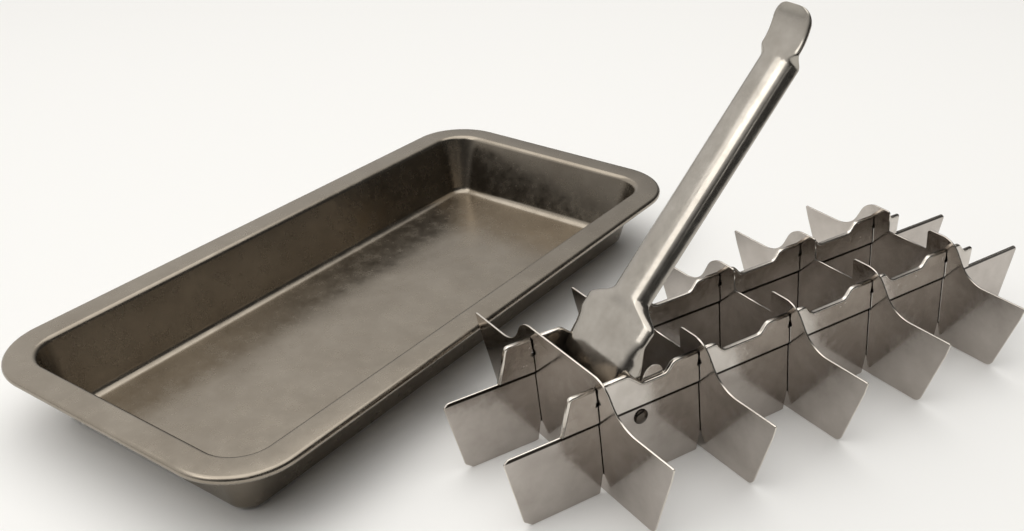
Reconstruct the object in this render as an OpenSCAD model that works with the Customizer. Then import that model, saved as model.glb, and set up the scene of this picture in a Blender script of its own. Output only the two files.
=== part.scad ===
// Lever ice cube tray, as it stands when it has just been emptied: a pressed steel pan and,
// beside it, the divider grid that was lifted out of it, with the lever pulled up.
// X runs along the pan, Z is up, and the origin is the middle of the pan's underside.
// The grid has a frame of its own: x along its two long walls towards the far end, y across
// them, and x = 0 where the first cross blade rocks in the walls.

/* [Pan] */
// Length over the rim
pan_l = 287; // [275:1:310]
// Width over the rim
pan_w = 140; // [137:1:146]
// Height of the rim's top face
pan_h = 29.5; // [27:0.5:34]
// Width of the flat rim
rim_w = 12; // [9:0.5:13]
// Corner radius of the rim's outer edge
rim_r = 26.7; // [25:0.1:32]
// How far each wall leans out from the floor to the rim
wall_flare = 7.5; // [5:0.5:8]
// Radius between the floor and the walls
floor_r = 4; // [2.5:0.5:5]
// Radius between the walls and the rim
rim_bend_r = 2.4; // [1.5:0.1:3]
// Radius of the curled outer edge of the rim
curl_r = 1.6; // [1.2:0.1:2]
// Sheet thickness of the pan
pan_t = 0.7; // [0.5:0.1:0.9]

/* [Grid walls] */
// Distance between the two long walls, centre to centre
wall_gap = 37; // [36:0.5:40]
// Height of the walls outside the slides
wall_h = 31; // [30:0.5:33]
// Height of the walls' tongues inside the slides
tongue_h = 37.4; // [35:0.1:37.4]
// Sheet thickness of the walls
wall_t = 0.7; // [0.5:0.1:0.9]
// Length of the walls past the first blade
near_l = 41; // [36:1:44]
// Length of the walls past the last blade
far_l = 45.5; // [40:0.5:46]
// Slant of the walls' near ends
near_slant = 8.5; // [8:0.5:10]
// Slant of the walls' far ends
far_slant = 7.5; // [7:0.5:8]
// Cut-off at the walls' upper end corners
end_cut = 1.6; // [1:0.1:3]
// Cut-off at the walls' lower end corners
foot_cut = 2.5; // [2.5:0.1:4]

/* [Blades] */
// Number of cross blades
blades = 5; // [3:1:5]
// Distance from blade to blade
pitch = 44; // [42:0.5:46]
// Sheet thickness of the blades
blade_t = 0.7; // [0.5:0.1:0.9]
// Height above the ground of the line about which the blades rock
rock_z = 8; // [6:0.5:10]
// Lean of the blades towards the lever's end, with the lever as it is
lean_up = 7.5; // [5:0.5:9]
// Lean of the blades the other way, with the lever down
lean_down = 6.6; // [6:0.1:7.5]
// Width of a blade at the top of its side flaps
flap_w = 112.4; // [108:0.2:113]
// Width of a blade at its foot
foot_w = 94; // [90:0.5:97]
// Radius of a blade's lower corners
foot_r = 3.6; // [2:0.2:5]
// Height of the flaps' top edges above the rocking line
flap_h = 25.7; // [24:0.1:28]
// Height of the first blade's flaps above the rocking line
first_flap_h = 28.6; // [26:0.1:30]
// Height of the lobes above the rocking line
lobe_h = 41.6; // [40.6:0.1:43]
// Height of the first blade's lobes above the rocking line
first_lobe_h = 42.4; // [41.6:0.1:44]
// Distance from the middle to a lobe's crown
crown_y = 16.5; // [15.5:0.5:17.5]
// Distance from the middle to a lobe's crown on the first blade
first_crown_y = 18; // [17:0.5:19]
// Radius from a lobe's top to its flank
crown_r = 9; // [8:0.5:10]
// Angle of a lobe's flank
flank = 62; // [58:1:66]
// Radius from a lobe's flank to the flap's top edge
slope_r = 12.6; // [10:0.2:13]
// Width of the notch for the lever
notch_w = 19.2; // [18.6:0.1:20]
// Height of the notch's floor above the rocking line
notch_h = 32.2; // [31:0.1:32.6]
// Height of the windows for the walls above the rocking line
window_h = 31.4; // [31.2:0.1:31.6]
// Radius of the lobes' inner corners
lobe_r = 1.5; // [1:0.1:3]

/* [Slides] */
// Height above the ground of the slides between their humps
slide_h = 40; // [39:0.1:41]
// Height above the ground of the humps
hump_h = 43.9; // [42.5:0.1:44.4]
// Height above the ground of the first hump
first_hump_h = 45.3; // [44.6:0.1:46]
// Height above the ground at which the blades are driven
drive_h = 41.2; // [40:0.1:41.5]
// Height above the ground of the notches' floors
slide_notch_h = 38; // [36:0.1:38]
// Sheet thickness of the slides
slide_t = 0.5; // [0.4:0.05:0.6]
// Place along the walls of the round lug on a slide's inner leaf
lug_x = 20; // [19:0.5:21]
// Radius of the lug
lug_r = 4.4; // [4:0.1:5]

/* [Lever] */
// Place of the lever's pivot along the walls
lever_x = 14.9; // [14:0.1:16]
// Height above the ground of the lever's pivot
lever_z = 25.9; // [25:0.1:27]
// Angle of the lever above the walls
lever_up = 50; // [48:1:52]
// How much further the lever can still be pulled
lever_more = 4; // [2:1:5]
// How far the drive pins lean back from above the pivot, with the lever as it is
pin_back = 16; // [14:1:25]
// Length from the pivot to the tip
lever_l = 144; // [140:1:150]
// Width of the hood at the pivot
hood_w = 34.4; // [34:0.1:34.4]
// Width of the handle
handle_w = 17.2; // [16:0.1:17.6]
// Height of the hood's top above the pivot, with the lever down
hood_h = 18.5; // [18:0.1:19]
// Height of the handle's top above the pivot, with the lever down
handle_h = 20; // [19:0.1:20.5]
// Height of the handle's lower edges above the pivot, with the lever down
edge_h = 14.8; // [14.6:0.1:15.4]
// Sheet thickness of the lever
lever_t = 0.7; // [0.6:0.05:0.8]
// Length of the finger tab
tab_l = 13.6; // [12:0.1:16]
// Width of the finger tab
tab_w = 17; // [15:0.1:17]
// Rise of the finger tab to its tip
tab_rise = 5.2; // [3:0.1:6]

/* [Rivets] */
// Radius of the pivot rivets' shanks
rivet_r = 1.5; // [1.2:0.1:1.8]
// Radius of the pivot rivets' heads
rivet_head_r = 2.8; // [2.4:0.1:3.2]
// Radius of the washers
washer_r = 4; // [3.5:0.1:4.6]
// Radius of the drive pins
pin_r = 1.2; // [1:0.1:1.3]
// Radius of the drive pins' heads
pin_head_r = 2; // [1.7:0.1:2.2]

/* [Place on the table] */
// Place of the grid along the pan
grid_x = -38.1; // [-45:0.1:-30]
// Place of the grid across the pan
grid_y = -124.6; // [-140:0.1:-124.6]
// Turn of the grid against the pan
grid_turn = -21; // [-30:1:-20]

/* [Hidden] */

// Overrun of every cut past the surface that it opens
cut = 1;
// Running gap between flat pieces that slide past each other
gap = 0.3;
// Room between a slide's leaves past the wall's thickness, on each side
slide_gap = 0.15;
// Gap between a window's sides and the slide in it
window_gap = 0.35;
// Height of a slide's lower edges over the wall's top edge, at its feet
slide_lift = 0.2;
// Radial clearance of the pivot, and of the pins in the lever
pivot_gap = 0.05;
pin_gap = 0.03;
// Gap on each side of a washer
washer_gap = 0.1;
// Chords in a fillet
fillet_n = 6;

half = wall_gap / 2;
slide_in = wall_t + 2 * slide_gap;
slide_w = slide_in + 2 * slide_t;
window_w = slide_w + 2 * window_gap;
// A window is narrow along the wall, and widens below the slide's lower edge
slit_w = wall_t + 2 * gap;
slit_h = wall_h + slide_lift - rock_z - 2 * gap;
lean_more = lean_up + lever_more * (lean_up + lean_down) / lever_up;
drive_arm = drive_h - rock_z;
// Travel of the slides from lever down to lever as it is, and the pins' circle that gives it
travel = drive_arm * (tan(lean_up) + tan(lean_down));
pin_arm = travel / (sin(pin_back) + sin(lever_up - pin_back));
slide_x = -drive_arm * tan(lean_up);

// Points of an arc about c from angle a to angle b
function arc(c, r, a, b, n = fillet_n) =
    [for (i = [0:n]) let (t = a + (b - a) * i / n) c + r * [cos(t), sin(t)]];
// Smooth step from 0 to 1 as x goes from a to b
function ramp(x, a, b) =
    let (s = min(1, max(0, (x - a) / (b - a)))) (1 - cos(180 * s)) / 2;
function mix(a, b, s) = a + (b - a) * s;

module grid_place() {
    translate([grid_x, grid_y, 0]) rotate([0, 0, grid_turn]) children();
}

// The pan is one pressing: floor, leaning walls, flat rim and an edge curled down and in.
// Its section is drawn once and goes along the sides and round the corners.

wall_lean = atan(wall_flare / (pan_h - pan_t));
wall_top_x = rim_w;
wall_foot_x = rim_w + wall_flare;

// Face of the section from the floor over the rim, moved by d, in distances from the rim's edge
function pan_face(d) =
    let (
        rf = floor_r - d, rb = rim_bend_r + d,
        turn = 90 - wall_lean,
        foot = [wall_foot_x + floor_r * tan(turn / 2), pan_t + floor_r],
        bend = [wall_top_x - rim_bend_r * tan(turn / 2), pan_h - rim_bend_r],
        edge = [curl_r, pan_h - curl_r]
    )
    concat(
        [[rim_r, pan_t + d]],
        arc(foot, rf, -90, -90 - turn),
        arc(bend, rb, 90 - turn, 90),
        arc(edge, curl_r + d, 90, 260)
    );

// The section in distances from a corner's centre
module pan_section() {
    inner = pan_face(0);
    outer = pan_face(-pan_t);
    face = concat(inner, [for (i = [len(outer) - 1:-1:0]) outer[i]]);
    polygon([for (p = face) [rim_r - p[0], p[1]]]);
}

module tray_pan() {
    sx = pan_l / 2 - rim_r;
    sy = pan_w / 2 - rim_r;
    color("silver") union() {
        translate([-sx, -sy, 0]) cube([2 * sx, 2 * sy, pan_t]);
        for (k = [0, 1]) rotate([0, 0, 180 * k]) {
            translate([0, sy, 0]) rotate([90, 0, 90])
                linear_extrude(2 * sx, center = true) pan_section();
            translate([sx, 0, 0]) rotate([90, 0, 0])
                linear_extrude(2 * sy, center = true) pan_section();
            translate([sx, sy, 0]) rotate_extrude(angle = 90) pan_section();
            translate([-sx, sy, 0]) rotate([0, 0, 90]) rotate_extrude(angle = 90) pan_section();
        }
    }
}

// A wall is a flat plate with slanted ends, a hole for the pivot, and a notch under each
// blade that widens downwards, so that the blade can rock in it. Its top is a low tongue that
// guides the slide, and that the slide covers over its whole travel.

module wall_outline() {
    end = (blades - 1) * pitch + far_l;
    notch = blade_t / 2 + gap;
    rest = 1 - foot_cut / (wall_h - end_cut);
    tongue_near = slide_x - hump_near + travel;
    tongue_far = slide_end() - slide_tail / 2;
    difference() {
        polygon([
            [-near_l + near_slant + foot_cut, 0],
            [end - far_slant - foot_cut, 0],
            [end - far_slant * rest, foot_cut],
            [end, wall_h - end_cut],
            [end - end_cut, wall_h],
            [tongue_far, wall_h],
            [tongue_far, tongue_h],
            [tongue_near, tongue_h],
            [tongue_near, wall_h],
            [-near_l + end_cut, wall_h],
            [-near_l, wall_h - end_cut],
            [-near_l + near_slant * rest, foot_cut]
        ]);
        for (i = [0:blades - 1]) translate([i * pitch, 0]) polygon([
            [-notch, rock_z + gap],
            [notch, rock_z + gap],
            [notch + (rock_z + cut) * tan(lean_more), -cut],
            [-notch - (rock_z + cut) * tan(lean_down), -cut]
        ]);
        translate([lever_x, lever_z]) circle(r = rivet_r + pivot_gap, $fn = 48);
    }
}

module wall(side) {
    translate([0, side * half, 0]) rotate([90, 0, 0])
        linear_extrude(wall_t, center = true) wall_outline();
}

// A slide is a strip folded over the wall's top edge. Its humps hold the blades in notches
// that narrow to the middle, and a slot in its inner leaf takes the lever's drive pin.

hump_near = 11.6;
hump_far = 7.7;
hump_slope_near = 3;
hump_slope_far = 3.6;
first_far = 12.4;
first_slope_far = 6.4;
slide_tail = 5;
slot_low = lever_z + pin_arm * cos(lever_up - pin_back) - pin_r - gap;
slot_high = lever_z + pin_arm + pin_r + gap;
slot_x = lever_x - pin_arm * sin(pin_back);

// Place of a slide's far end
function slide_end() = slide_x + (blades - 1) * pitch + hump_far + hump_slope_far + slide_tail;

// Side view of a slide, its upper edge lowered by drop to draw the space between the leaves
module slide_outline(drop) {
    past = drop > 0 ? cut : 0;
    base = wall_h + slide_lift - past;
    near = slide_x - hump_near - past;
    end = slide_end() + past;
    polygon(concat(
        [
            [near - hump_slope_near, base],
            [near, first_hump_h - drop],
            [slide_x + first_far, first_hump_h - drop],
            [slide_x + first_far + first_slope_far, slide_h - drop]
        ],
        [for (i = [1:blades - 1]) let (x = slide_x + i * pitch) each [
            [x - hump_near - hump_slope_near, slide_h - drop],
            [x - hump_near, hump_h - drop],
            [x + hump_far, hump_h - drop],
            [x + hump_far + hump_slope_far, slide_h - drop]
        ]],
        [[end, slide_h - drop], [end, base]]
    ));
}

module slide_notch(top) {
    notch = blade_t / 2 + gap;
    up = top + cut - drive_h;
    down = drive_h - slide_notch_h;
    polygon([
        [-notch, drive_h],
        [-notch - down * tan(lean_down), slide_notch_h],
        [notch + down * tan(lean_more), slide_notch_h],
        [notch, drive_h],
        [notch + up * tan(lean_down), top + cut],
        [-notch - up * tan(lean_more), top + cut]
    ]);
}

module slide(side) {
    translate([0, side * half, 0]) difference() {
        union() {
            rotate([90, 0, 0]) linear_extrude(slide_w, center = true) slide_outline(0);
            translate([lug_x, -side * (slide_w - slide_t) / 2, slide_h]) rotate([90, 0, 0])
                cylinder(r = lug_r, h = slide_t, center = true, $fn = 48);
        }
        rotate([90, 0, 0]) linear_extrude(slide_in, center = true) slide_outline(slide_t);
        for (i = [0:blades - 1]) translate([slide_x + i * pitch, 0, 0]) rotate([90, 0, 0])
            linear_extrude(slide_w + 2 * cut, center = true)
                slide_notch(i == 0 ? first_hump_h : hump_h);
        translate([slot_x, -side * slide_w / 2, 0]) rotate([90, 0, 0])
            linear_extrude(slide_in, center = true)
                translate([-pin_r - gap, slot_low]) square([2 * (pin_r + gap), slot_high - slot_low]);
    }
}

// A blade is one flat sheet across both walls. Its outline is drawn for one half, with y
// from the middle outwards and the height counted from the rocking line.

function half_blade(flap, top, crown, notched) =
    let (
        lean = atan((flap_w - foot_w) / 2 / (rock_z + flap_h)),
        outer = foot_w / 2,
        inner = notch_w / 2,
        // Where the lobe's flank meets the curve up from the flap
        meet_z = flap + slope_r * (1 - cos(flank)),
        flank_z = top - crown_r * (1 - cos(flank)),
        meet_y = crown + crown_r * sin(flank) + (flank_z - meet_z) / tan(flank)
    )
    concat(
        [[0, -rock_z]],
        arc([outer - foot_r * tan(45 + lean / 2), foot_r - rock_z], foot_r, -90, -lean),
        [[flap_w / 2 - (flap_h - flap) * tan(lean), flap]],
        arc([meet_y + slope_r * sin(flank), flap + slope_r], slope_r, -90, -90 - flank),
        arc([crown, top - crown_r], crown_r, 90 - flank, 90),
        notched
            ? concat(arc([inner + lobe_r, top - lobe_r], lobe_r, 90, 180), [[inner, notch_h]])
            : [],
        [[0, notched ? notch_h : top]]
    );

module blade(i) {
    pts = i == 1
        ? half_blade(first_flap_h, first_lobe_h, first_crown_y, false)
        : half_blade(flap_h, lobe_h, crown_y, true);
    color("darkgray") grid_place()
        translate([(i - 1) * pitch, 0, rock_z]) rotate([0, -lean_up, 0])
            rotate([90, 0, 90]) linear_extrude(blade_t, center = true) difference() {
                polygon(concat(pts, [for (k = [len(pts) - 2:-1:1]) [-pts[k][0], pts[k][1]]]));
                for (s = [-1, 1]) translate([s * half, 0]) {
                    translate([-slit_w / 2, 0]) square([slit_w, window_h]);
                    translate([-window_w / 2, slit_h]) square([window_w, window_h - slit_h]);
                }
            }
}

// The lever is a pressed channel. It is drawn lying down, with x along it and its pivot at
// the origin: a wide hood between the walls, a neck, the handle and a finger tab bent up.
// The hood's sides reach down to the pivot and end in a round ear about it.

hood_end = 26;
neck_end = 33.5;
nose_r = 22;
nose_drop = 9;
// Width and height of the bend from the top into the sides, and the crown of the top
hood_bend = 6.5;
handle_bend = 5.4;
tab_bend = 1.8;
hood_rise = 6;
handle_rise = 4.6;
tab_lip_rise = 0.9;
top_bow = 0.7;
tab_bow = 0.1;
tab_skirt = 0.3;
tab_dip = 0;
tab_blend = 4.5;
tip_r = 4.8;
ear_r = 6.6;
// Lower edges of the hood's sides, as distance along the lever and height
side_line = [[ear_r, 0], [9.1, 7.6], [15.6, 12], [20.5, 15.4]];
bend_n = 5;

tab_x = lever_l - tab_l;
// Drive pin in the lever's frame
pin = pin_arm * [sin(lever_up - pin_back), 0, cos(lever_up - pin_back)];

// How far x is along the neck, and along the bend into the tab
function neck(x) = ramp(x, hood_end, neck_end);
function tab(x) = ramp(x, tab_x - tab_blend, tab_x);

function half_width(x) =
    let (
        body = mix(mix(hood_w, handle_w, neck(x)), tab_w, tab(x)) / 2,
        left = max(0, tip_r - (lever_l - x))
    )
    body - tip_r + sqrt(tip_r * tip_r - left * left);
function crown(x) =
    let (
        nose = max(0, nose_r - (x + ear_r)) / nose_r,
        tip = max(0, (x - tab_x) / tab_l)
    )
    mix(hood_h, handle_h, neck(x)) - nose_drop * nose * nose - tab_dip * tab(x) + tab_rise * tip * tip;
function low_edge(x) =
    x < ear_r ? -sqrt(max(0, ear_r * ear_r - x * x))
        : mix(mix(lookup(x, side_line), edge_h, neck(x)), crown(x) - tab_lip_rise - tab_skirt, tab(x));
function bow(x) = mix(top_bow, tab_bow, tab(x));
function bend(x) = mix(mix(hood_bend, handle_bend, neck(x)), tab_bend, tab(x));
function rise(x) = min(
    mix(mix(hood_rise, handle_rise, neck(x)), tab_lip_rise, tab(x)),
    crown(x) - low_edge(x) - bow(x) - tab_skirt
);

// Arch of the channel at x, drawn in by d from the outer face: lower edge, upright side,
// bend, crowned top, and the same again
function arch(x, d) =
    let (
        w = half_width(x), b = bend(x), h = rise(x), spring = crown(x) - bow(x) - h,
        side = concat(
            [[w - d, low_edge(x)]],
            [for (i = [0:bend_n]) let (a = 90 * i / bend_n)
                [w - b + (b - d) * cos(a), spring + (h - d) * sin(a)]]
        ),
        n = len(side)
    )
    concat(
        [for (p = side) [x, p[0], p[1]]],
        [[x, 0, crown(x) - d]],
        [for (i = [n - 1:-1:0]) [x, -side[i][0], side[i][1]]]
    );
function ring(x) =
    let (inner = arch(x, lever_t))
    concat(arch(x, 0), [for (i = [len(inner) - 1:-1:0]) inner[i]]);

// Places of the rings, close together where the lever changes shape
stations = concat(
    [for (i = [0:12]) -ear_r * cos(180 * i / 12)],
    [for (i = [1:3]) side_line[i][0]],
    [for (i = [0:8]) mix(hood_end, neck_end, i / 8)],
    [for (i = [1:3]) mix(neck_end, tab_x - tab_blend, i / 3)],
    [for (i = [1:5]) mix(tab_x - tab_blend, tab_x, i / 5)],
    [for (i = [1:5]) mix(tab_x, lever_l - tip_r, i / 5)],
    [for (i = [1:6]) lever_l - tip_r + tip_r * sin(90 * i / 6)]
);

module lever_shell() {
    n = 2 * (2 * bend_n + 5);
    m = len(stations);
    points = [for (x = stations) each ring(x)];
    sides = [for (j = [0:m - 2], i = [0:n - 1])
        let (a = j * n + i, b = j * n + (i + 1) % n) each [[a, a + n, b], [b, a + n, b + n]]];
    near_cap = [for (i = [0:n / 2 - 2]) let (a = i, b = i + 1, c = n - 1 - i, d = n - 2 - i)
        each [[a, b, c], [b, d, c]]];
    far = (m - 1) * n;
    far_cap = [for (t = near_cap) [far + t[0], far + t[2], far + t[1]]];
    polyhedron(points, concat(sides, near_cap, far_cap));
}

// Puts what is drawn in the lever's frame where the lever stands
module lever_place() {
    grid_place() translate([lever_x, 0, lever_z]) rotate([0, -lever_up, 0]) children();
}

module lever() {
    color("gainsboro") lever_place() difference() {
        lever_shell();
        rotate([90, 0, 0])
            cylinder(h = hood_w + 2 * cut, r = rivet_r + pivot_gap, center = true, $fn = 48);
        translate(pin) rotate([90, 0, 0])
            cylinder(h = hood_w + 2 * cut, r = pin_r + pin_gap, center = true, $fn = 48);
    }
}

// A rivet, a washer and a drive pin on each side. Their axes run across the grid, and each
// is drawn outwards from the lever's flange. A drive pin ends flush with the slide's inner
// leaf, clear of the wall's tongue.

flange_out = hood_w / 2;
flange_in = hood_w / 2 - lever_t;
wall_in = half - wall_t / 2;
wall_out = half + wall_t / 2;
head_h = 1.2;
head_dome = 0.5;

module turned(side) {
    rotate([-90 * side, 0, 0]) children();
}

// Head with a rounded edge, its flat face at height 0
module head(r) {
    rotate_extrude($fn = 48) polygon(concat(
        [[0, 0], [r, 0], [r, head_h - head_dome]],
        arc([r - head_dome, head_h - head_dome], head_dome, 0, 90),
        [[0, head_h]]
    ));
}

module pivot_rivet(side) {
    color("dimgray") grid_place() translate([lever_x, 0, lever_z]) turned(side) union() {
        translate([0, 0, flange_in - washer_gap])
            cylinder(h = wall_out - flange_in + 2 * washer_gap, r = rivet_r, $fn = 48);
        translate([0, 0, wall_out + washer_gap]) head(rivet_head_r);
        translate([0, 0, flange_in - washer_gap]) mirror([0, 0, 1]) head(rivet_head_r);
    }
}

module pivot_washer(side) {
    color("gray") grid_place() translate([lever_x, 0, lever_z]) turned(side) difference() {
        translate([0, 0, flange_out + washer_gap])
            cylinder(h = wall_in - flange_out - 2 * washer_gap, r = washer_r, $fn = 48);
        cylinder(h = wall_out, r = rivet_r + pivot_gap, $fn = 48);
    }
}

module drive_pin(side) {
    color("gray") lever_place()
        translate(pin) turned(side) union() {
            translate([0, 0, flange_in])
                cylinder(h = half - slide_in / 2 - flange_in, r = pin_r, $fn = 48);
            translate([0, 0, flange_in]) mirror([0, 0, 1]) head(pin_head_r);
        }
}

tray_pan();
color("silver") grid_place() wall(-1);  // front_wall
color("silver") grid_place() wall(1);  // rear_wall
color("lightgray") grid_place() slide(-1);  // front_slide
color("lightgray") grid_place() slide(1);  // rear_slide
blade(1);  // blade_1
blade(2);  // blade_2
blade(3);  // blade_3
blade(4);  // blade_4
blade(5);  // blade_5
lever();
pivot_rivet(-1);  // pivot_rivet_front
pivot_rivet(1);  // pivot_rivet_rear
pivot_washer(-1);  // pivot_washer_front
pivot_washer(1);  // pivot_washer_rear
drive_pin(-1);  // drive_pin_front
drive_pin(1);  // drive_pin_rear
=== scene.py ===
# %% [markdown]
# # A lever ice cube tray, lesson by lesson
#
# The object is a pressed stainless steel pan and the divider grid that has just been lifted out
# of it: two long walls, five cross blades that rock in them, two folded slides that drive the
# blades, and a lever that pushes the slides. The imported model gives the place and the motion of
# every part. This script makes each part again as a smooth surface with its real edges, folds
# and finish, and leaves it in the same place.

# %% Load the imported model
import math

import bmesh
import bpy
import numpy as np
from mathutils import Matrix, Vector
from mathutils.geometry import delaunay_2d_cdt


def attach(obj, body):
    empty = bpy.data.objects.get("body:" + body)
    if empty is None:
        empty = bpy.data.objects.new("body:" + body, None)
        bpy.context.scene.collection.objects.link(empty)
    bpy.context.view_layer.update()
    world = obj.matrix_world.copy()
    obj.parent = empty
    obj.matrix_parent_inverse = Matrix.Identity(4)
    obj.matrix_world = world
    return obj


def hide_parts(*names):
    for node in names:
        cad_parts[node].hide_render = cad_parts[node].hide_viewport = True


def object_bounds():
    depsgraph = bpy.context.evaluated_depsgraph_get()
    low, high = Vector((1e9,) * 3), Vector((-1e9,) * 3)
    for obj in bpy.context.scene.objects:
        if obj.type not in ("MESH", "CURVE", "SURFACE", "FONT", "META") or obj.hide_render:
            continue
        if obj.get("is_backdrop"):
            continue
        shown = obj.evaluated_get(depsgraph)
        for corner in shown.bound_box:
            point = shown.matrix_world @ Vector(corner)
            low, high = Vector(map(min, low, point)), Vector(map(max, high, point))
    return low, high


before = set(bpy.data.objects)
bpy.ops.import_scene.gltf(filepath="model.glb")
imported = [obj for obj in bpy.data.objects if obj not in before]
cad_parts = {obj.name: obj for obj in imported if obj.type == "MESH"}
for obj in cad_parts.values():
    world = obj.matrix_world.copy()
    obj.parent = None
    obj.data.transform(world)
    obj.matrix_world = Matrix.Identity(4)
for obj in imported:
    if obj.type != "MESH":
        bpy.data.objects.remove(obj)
cad_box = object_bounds()
MM = 0.001

# %% [markdown]
# ## The camera
#
# The photograph looks down at the pan from its front left corner. A camera that was fitted to
# the pan's rim and to the grid's edges stands 256 mm above the table. It could be aimed by hand
# until the edges meet, but a fitted place and angle also gives the right perspective, so that
# the near flaps look as large beside the far ones as they should.

# %% Camera
CAMERA_AT = (-313.4, -295.7, 256.3)
CAMERA_TURN, CAMERA_DIP, CAMERA_ROLL = (math.radians(a) for a in (35.52, 28.48, -0.5))
FOCAL_PIXELS, IMAGE_WIDTH = 1136, 1024

look = Vector((
    math.cos(CAMERA_DIP) * math.cos(CAMERA_TURN),
    math.cos(CAMERA_DIP) * math.sin(CAMERA_TURN),
    -math.sin(CAMERA_DIP),
))
right = look.cross(Vector((0, 0, 1))).normalized()
up = right.cross(look)
side = right * math.cos(CAMERA_ROLL) + up * math.sin(CAMERA_ROLL)
top = up * math.cos(CAMERA_ROLL) - right * math.sin(CAMERA_ROLL)

lens = bpy.data.cameras.new("camera")
lens.sensor_width = 36
lens.lens = lens.sensor_width * FOCAL_PIXELS / IMAGE_WIDTH
lens.clip_start, lens.clip_end = 0.01, 20
camera = bpy.data.objects.new("camera", lens)
bpy.context.scene.collection.objects.link(camera)
camera.matrix_world = Matrix.Translation(Vector(CAMERA_AT) * MM) @ Matrix(
    (side, top, -look)
).transposed().to_4x4()
bpy.context.scene.camera = camera
print(f"lens {lens.lens:.1f} mm, {CAMERA_AT[2]:.0f} mm above the table")

# %% [markdown]
# ## Helpers for colour and for nodes
#
# Colours are written as sRGB hex values, as a colour picker shows them. Shaders work in linear
# light, so one function turns the one into the other. One more adds a node to a material, sets
# its inputs and links it, and every material below is built with it. Materials could be wired by
# hand in the Shader Editor, but here a change of one value changes each of them.

# %% Colour and nodes


def linear(hex_value):
    """Each channel c over 0.04045 becomes ((c + 0.055) / 1.055) to the power 2.4."""
    srgb = np.array([int(hex_value[i : i + 2], 16) for i in (1, 3, 5)]) / 255
    light = np.where(srgb <= 0.04045, srgb / 12.92, ((srgb + 0.055) / 1.055) ** 2.4)
    return (*light.tolist(), 1.0)


def add(tree, kind, settings=None, **inputs):
    """Adds a node. A socket among the inputs is linked, and anything else is set as a value."""
    node = tree.nodes.new(kind)
    for name, value in (settings or {}).items():
        setattr(node, name, value)
    for name, value in inputs.items():
        key = int(name[1:]) if name[0] == "_" else name.replace("_", " ")
        if isinstance(value, bpy.types.NodeSocket):
            tree.links.new(value, node.inputs[key])
        else:
            node.inputs[key].default_value = value
    return node


print("middle grey in linear light:", round(linear("#808080")[0], 3))

# %% [markdown]
# ## Steel finishes
#
# Every part is stainless steel sheet, and what differs is how it was worked and kept, save a few
# colours that stand for light and shade: painted shade in the slits and under the slides, a
# painted highlight on the edges, a painted dark reflection on the rivets. Rolled sheet is nearly a
# mirror, only grey: it shows its neighbours clearly, and a sheet seen in a sheet is darker still,
# so the base colour matters twice. Clouds of handling marks change the gloss from place to place,
# and a very slow wave bends the mirror images. A photograph could be wrapped on, but noise at four
# real sizes does the same and fits every part.

# %% Steel
SPOT_SHARE = 0.3  # size of the patches of gloss against the clouds of colour
GRAIN_MM = 0.5  # real grain is finer, and drawn so coarse that it shows in the picture


def steel(name, light, dark, roughness, spread, cloud_mm, grain_depth, wave_mm, wave_depth, shade_band=None):
    """Metal in clouds of two colours and two glosses, with grain and waves as bump.

    The last argument paints shade in: (way, from mm, to mm, hex value), and the colour goes over to the hex
    value along that way, as a band of painted shade.
    """
    material = bpy.data.materials.new(name)
    material.use_nodes = True
    tree = material.node_tree
    shader = tree.nodes["Principled BSDF"]
    shader.inputs["Metallic"].default_value = 1.0
    place = add(tree, "ShaderNodeTexCoord").outputs["Object"]
    clouds = add(tree, "ShaderNodeTexNoise", Vector=place, Scale=1 / (cloud_mm * MM),
                 Detail=5.0, Roughness=0.62)
    tint = add(tree, "ShaderNodeMix", {"data_type": "RGBA"}, Factor=clouds.outputs["Fac"],
               _6=linear(dark), _7=linear(light)).outputs[2]
    # Painted shade: along one way the colour goes over to a given dark
    if shade_band:
        way, start, end, colour = shade_band
        along = add(tree, "ShaderNodeVectorMath", {"operation": "DOT_PRODUCT"}, _0=place, _1=way)
        share = add(tree, "ShaderNodeMapRange", Value=along.outputs["Value"],
                    From_Min=start * MM, From_Max=end * MM)
        tint = add(tree, "ShaderNodeMix", {"data_type": "RGBA"}, Factor=share.outputs["Result"],
                   _6=tint, _7=linear(colour)).outputs[2]
    tree.links.new(tint, shader.inputs["Base Color"])
    spots = add(tree, "ShaderNodeTexNoise", Vector=place, Scale=1 / (SPOT_SHARE * cloud_mm * MM),
                Detail=4.0, Roughness=0.7)
    gloss = add(tree, "ShaderNodeMapRange", Value=spots.outputs["Fac"], From_Min=0.3, From_Max=0.7,
                To_Min=roughness - spread, To_Max=roughness + spread)
    tree.links.new(gloss.outputs["Result"], shader.inputs["Roughness"])
    grain = add(tree, "ShaderNodeTexNoise", Vector=place, Scale=1 / (GRAIN_MM * MM), Detail=3.0,
                Roughness=0.6)
    skin = add(tree, "ShaderNodeBump", Strength=1.0, Distance=grain_depth * MM, Height=grain.outputs["Fac"])
    wave = add(tree, "ShaderNodeTexNoise", Vector=place, Scale=1 / (wave_mm * MM), Detail=1.0)
    bend = add(tree, "ShaderNodeBump", Strength=1.0, Distance=wave_depth * MM,
               Height=wave.outputs["Fac"], Normal=skin.outputs["Normal"])
    tree.links.new(bend.outputs["Normal"], shader.inputs["Normal"])
    return material


# Painted shade: the near black of the gap lines, and the heights in mm on the wall where it starts
PAINTED_SHADE = "#2c2824"
SHADE_FROM, SHADE_TO = 29.5, 29.7
# Warm grey and softly glossy, with faint clouds: the drawn pan shows the sky as a pale sheen
PAN_STEEL = steel("drawn stainless steel, satin", "#a49c90", "#80776b", 0.24, 0.08, 24, 0.003, 30, 0.25)
# A soft grey mirror, patchy from handling: it repeats each flap, slit and edge beside it, darker
SHEET_STEEL = steel("rolled stainless steel sheet", "#d0cac4", "#9c948d", 0.17, 0.09, 15, 0.004, 24, 0.09)
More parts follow.
